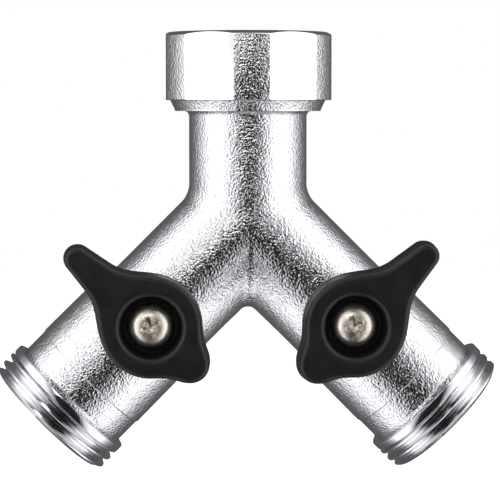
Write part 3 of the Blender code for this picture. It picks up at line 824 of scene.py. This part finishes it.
def new_material(name, colour, roughness, metallic):
    """A Principled material; returns it with its node tree and surface node."""
    material = bpy.data.materials.new(name)
    material.use_nodes = True
    tree = material.node_tree
    surface = tree.nodes["Principled BSDF"]
    surface.inputs["Base Color"].default_value = (*colour, 1.0)
    surface.inputs["Roughness"].default_value = roughness
    surface.inputs["Metallic"].default_value = metallic
    return material, tree, surface


def add_noise(tree, scale, detail=2.0, roughness=0.5, stretch=None):
    """A noise texture in the object's own metres."""
    place = tree.nodes.new("ShaderNodeTexCoord")
    noise = tree.nodes.new("ShaderNodeTexNoise")
    noise.inputs["Scale"].default_value = scale
    noise.inputs["Detail"].default_value = detail
    noise.inputs["Roughness"].default_value = roughness
    if stretch is None:
        tree.links.new(place.outputs["Object"], noise.inputs["Vector"])
    else:
        mapping = tree.nodes.new("ShaderNodeMapping")
        mapping.inputs["Scale"].default_value = stretch
        tree.links.new(place.outputs["Object"], mapping.inputs["Vector"])
        tree.links.new(mapping.outputs["Vector"], noise.inputs["Vector"])
    return noise.outputs["Fac"]


def ramp(tree, value, low, high):
    """Map a noise value between two levels, over its middle range."""
    span = tree.nodes.new("ShaderNodeMapRange")
    span.inputs["From Min"].default_value = NOISE_LOW
    span.inputs["From Max"].default_value = NOISE_HIGH
    span.inputs["To Min"].default_value = low
    span.inputs["To Max"].default_value = high
    tree.links.new(value, span.inputs["Value"])
    return span.outputs["Result"]


def add_bump(tree, surface, height, distance, under=None):
    """A full-strength bump of a distance in metres, over an earlier bump's normal if given."""
    bump = tree.nodes.new("ShaderNodeBump")
    bump.inputs["Strength"].default_value = 1.0
    bump.inputs["Distance"].default_value = distance
    tree.links.new(height, bump.inputs["Height"])
    if under is not None:
        tree.links.new(under, bump.inputs["Normal"])
    tree.links.new(bump.outputs["Normal"], surface.inputs["Normal"])
    return bump.outputs["Normal"]


def blasted_plate():
    """Bright plate over a blasted casting: coarse grain that breaks reflections into speckle."""
    material, tree, surface = new_material("blasted_plate", (0.80, 0.80, 0.82), 0.12, 1.0)
    grain = add_noise(tree, 2600.0, 1.5, 0.5)
    fine = add_bump(tree, surface, grain, 0.00015)
    wave = add_noise(tree, 700.0, 1.0)
    add_bump(tree, surface, wave, 0.00007, under=fine)
    tree.links.new(ramp(tree, add_noise(tree, 1500.0, 2.0), 0.08, 0.18), surface.inputs["Roughness"])
    return material


def machined_plate():
    """Bright plate over machined faces: smooth, with faint tool streaks and soft ripples."""
    material, tree, surface = new_material("machined_plate", (0.80, 0.80, 0.82), 0.10, 1.0)
    streaks = add_noise(tree, 900.0, 3.0, 0.6, stretch=(1.0, 1.0, 0.12))
    light = add_bump(tree, surface, streaks, 0.000014)
    ripple = add_noise(tree, 260.0, 1.0)
    add_bump(tree, surface, ripple, 0.00003, under=light)
    tree.links.new(ramp(tree, add_noise(tree, 600.0, 3.0), 0.08, 0.20), surface.inputs["Roughness"])
    return material


def black_nylon():
    """Satin black moulded nylon with a fine spark-eroded grain."""
    material, tree, surface = new_material("black_nylon_satin", (0.006, 0.006, 0.0065), 0.40, 0.0)
    surface.inputs["Specular IOR Level"].default_value = 0.38
    grain = add_noise(tree, 5200.0, 2.0)
    fine = add_bump(tree, surface, grain, 0.00002)
    add_bump(tree, surface, add_noise(tree, 420.0, 2.0), 0.00003, under=fine)
    tree.links.new(ramp(tree, add_noise(tree, 300.0, 3.0), 0.33, 0.45), surface.inputs["Roughness"])
    return material


def nickel_steel():
    """Warm nickel plate on the screws, with faint scratches."""
    material, tree, surface = new_material("warm_nickel", (0.90, 0.84, 0.74), 0.32, 1.0)
    scratches = add_noise(tree, 1400.0, 4.0, 0.7, stretch=(1.0, 1.0, 0.3))
    add_bump(tree, surface, scratches, 0.00003)
    tree.links.new(ramp(tree, add_noise(tree, 900.0, 3.0), 0.26, 0.42), surface.inputs["Roughness"])
    return material


def bright_brass():
    material, tree, surface = new_material("machined_brass", (0.80, 0.58, 0.27), 0.22, 1.0)
    add_bump(tree, surface, add_noise(tree, 1800.0, 3.0, stretch=(1.0, 1.0, 0.2)), 0.00002)
    tree.links.new(ramp(tree, add_noise(tree, 700.0, 3.0), 0.16, 0.32), surface.inputs["Roughness"])
    return material


def white_ptfe():
    material, tree, surface = new_material("milky_ptfe", (0.82, 0.82, 0.80), 0.42, 0.0)
    surface.inputs["Subsurface Weight"].default_value = 0.1
    surface.inputs["Subsurface Scale"].default_value = 0.001
    add_bump(tree, surface, add_noise(tree, 1200.0, 3.0), 0.00002)
    tree.links.new(ramp(tree, add_noise(tree, 500.0, 2.0), 0.36, 0.5), surface.inputs["Roughness"])
    return material


def black_rubber():
    material, tree, surface = new_material("matt_rubber", (0.022, 0.022, 0.022), 0.72, 0.0)
    add_bump(tree, surface, add_noise(tree, 2500.0, 3.0), 0.00004)
    tree.links.new(ramp(tree, add_noise(tree, 700.0, 3.0), 0.6, 0.82), surface.inputs["Roughness"])
    return material


SHARP_ANGLE = math.radians(30)
UPRIGHT_LIMIT = 0.3
CAST_MARGIN = 0.0001
FOOT_MARGIN = 0.0008


def paint(item, material):
    item.data.materials.clear()
    item.data.materials.append(material)
    item.data.shade_smooth()
    item.data.set_sharp_from_angle(angle=SHARP_ANGLE)


def leave_cast_corners(collar, material):
    """The collar's six rounded corners and its skirt stay as cast: only its flats are machined."""
    collar.data.materials.append(material)
    corner_reach = (COLLAR_FLATS / 2 + COLLAR_CORNER_RADIUS) / 2 + CAST_MARGIN
    skirt_reach = COLLAR_FOOT_RADIUS - FOOT_MARGIN
    for face in collar.data.polygons:
        reach = math.hypot(face.center.x, face.center.y)
        upright = abs(face.normal.z) < UPRIGHT_LIMIT
        outward = face.normal.x * face.center.x + face.normal.y * face.center.y > 0
        corner = upright and reach > corner_reach
        skirt = face.center.z < COLLAR_HEX_BOTTOM - CAST_MARGIN and reach > skirt_reach
        if outward and (corner or skirt):
            face.material_index = 1


# ---------------------------------------------------------------- put together

def place(item, body, slot, material, *nodes):
    """Paint a piece, ride it on its body and let it stand for CAD nodes."""
    paint(item, material)
    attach(item, body)
    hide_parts(*nodes)


plate = blasted_plate()
machined = machined_plate()
nylon = black_nylon()
nickel = nickel_steel()
brass = bright_brass()
ptfe = white_ptfe()
rubber = black_rubber()

place(add_casting(), "body", "plated_brass", plate, "body")
collar = add_collar()
place(collar, "body", "plated_brass", machined, "body")
leave_cast_corners(collar, plate)
place(add_washer(), "body", "black_rubber", rubber, "inlet_washer")
knob_shape = knob_mesh()
for side in SIDES:
    valve = f"{side}_valve"
    place(add_outlet(side), "body", "plated_brass", machined, "body")
    place(add_boss(side), "body", "plated_brass", plate, "body")
    for seat, node in add_seats(side):
        place(seat, "body", "white_ptfe", ptfe, node)
    place(add_retainer(side), "body", "bright_brass", brass, f"{side}_seat_retainer")
    place(add_ball(side), valve, "bright_brass", brass, f"{side}_ball")
    knob = bpy.data.objects.new(f"lever_{side}", knob_shape.data.copy())
    bpy.context.scene.collection.objects.link(knob)
    place(moved(knob, valve_frame(side)), valve, "black_nylon", nylon, f"{side}_knob")
    place(add_screw(side), valve, "nickel_steel", nickel, f"{side}_knob_screw")
    for name, material in (
        ("stem", brass),
        ("thrust_washer", ptfe),
        ("stem_o_ring_lower", rubber),
        ("stem_o_ring_upper", rubber),
    ):
        paint(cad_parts[f"{side}_{name}"], material)
bpy.data.objects.remove(knob_shape)


# ---------------------------------------------------------------- floor, light and camera

def add_floor():
    """A plain pale floor below the outlets, lifted to stay light and unseen by reflections."""
    shape = bmesh.new()
    bmesh.ops.create_circle(shape, cap_ends=True, segments=96, radius=FLOOR_RADIUS)
    floor = add_object("studio_floor", shape)
    floor.location.z = cad_low.z - FLOOR_DROP
    material, tree, surface = new_material("pale_floor", (0.90, 0.90, 0.90), 0.8, 0.0)
    surface.inputs["Emission Color"].default_value = (1.0, 1.0, 1.0, 1.0)
    surface.inputs["Emission Strength"].default_value = FLOOR_LIFT
    add_bump(tree, surface, add_noise(tree, 30.0, 2.0), 0.0002)
    floor.data.materials.append(material)
    floor.visible_glossy = False


def aimed(place, aim):
    """The turn that points a camera or a light from its place at a point."""
    return (Vector(aim) - Vector(place)).to_track_quat("-Z", "Y").to_euler()


def add_softbox(name, location, width, height, power):
    light = bpy.data.lights.new(name, "AREA")
    light.shape = "RECTANGLE"
    light.size = width
    light.size_y = height
    light.energy = power
    lamp = bpy.data.objects.new(name, light)
    lamp.location = location
    lamp.rotation_euler = aimed(location, LIGHT_AIM)
    bpy.context.scene.collection.objects.link(lamp)


def add_world():
    """A white room, reflected as a dark front, bright sides and a grey back.

    The level follows the angle away from the front (-Y), so that bright metal shows a dark
    middle, light flanks and grey outlines.
    """
    world = bpy.data.worlds.new("studio")
    bpy.context.scene.world = world
    world.use_nodes = True
    tree = world.node_tree
    background = tree.nodes["Background"]
    where = tree.nodes.new("ShaderNodeTexCoord")
    split = tree.nodes.new("ShaderNodeSeparateXYZ")
    tree.links.new(where.outputs["Generated"], split.inputs["Vector"])
    sideways = tree.nodes.new("ShaderNodeMath")
    sideways.operation = "ABSOLUTE"
    tree.links.new(split.outputs["X"], sideways.inputs[0])
    forwards = tree.nodes.new("ShaderNodeMath")
    forwards.operation = "MULTIPLY"
    forwards.inputs[1].default_value = -1.0
    tree.links.new(split.outputs["Y"], forwards.inputs[0])
    angle = tree.nodes.new("ShaderNodeMath")
    angle.operation = "ARCTAN2"
    tree.links.new(sideways.outputs["Value"], angle.inputs[0])
    tree.links.new(forwards.outputs["Value"], angle.inputs[1])
    share = tree.nodes.new("ShaderNodeMath")
    share.operation = "DIVIDE"
    share.inputs[1].default_value = math.pi
    tree.links.new(angle.outputs["Value"], share.inputs[0])
    levels = tree.nodes.new("ShaderNodeValToRGB")
    stops = levels.color_ramp.elements
    while len(stops) < len(ROOM_LEVELS):
        stops.new(0.5)
    for stop, (degrees, level) in zip(stops, ROOM_LEVELS):
        stop.position = degrees / 180.0
        stop.color = (level, level, level * 1.02, 1.0)
    tree.links.new(share.outputs["Value"], levels.inputs["Fac"])
    seen = tree.nodes.new("ShaderNodeLightPath")
    choose = tree.nodes.new("ShaderNodeMixRGB")
    choose.inputs["Color2"].default_value = (1.0, 1.0, 1.0, 1.0)
    tree.links.new(seen.outputs["Is Camera Ray"], choose.inputs["Fac"])
    tree.links.new(levels.outputs["Color"], choose.inputs["Color1"])
    tree.links.new(choose.outputs["Color"], background.inputs["Color"])
    background.inputs["Strength"].default_value = ROOM_STRENGTH


def add_camera():
    camera = bpy.data.cameras.new("camera")
    camera.lens = CAMERA_LENS
    camera.sensor_width = 36.0
    camera.clip_start = 0.01
    item = bpy.data.objects.new("camera", camera)
    item.location = CAMERA_PLACE
    item.rotation_euler = aimed(CAMERA_PLACE, CAMERA_AIM)
    bpy.context.scene.collection.objects.link(item)
    bpy.context.scene.camera = item


add_floor()
add_world()
for softbox in SOFTBOXES:
    add_softbox(*softbox)
add_camera()
bpy.context.scene.view_settings.view_transform = "Standard"
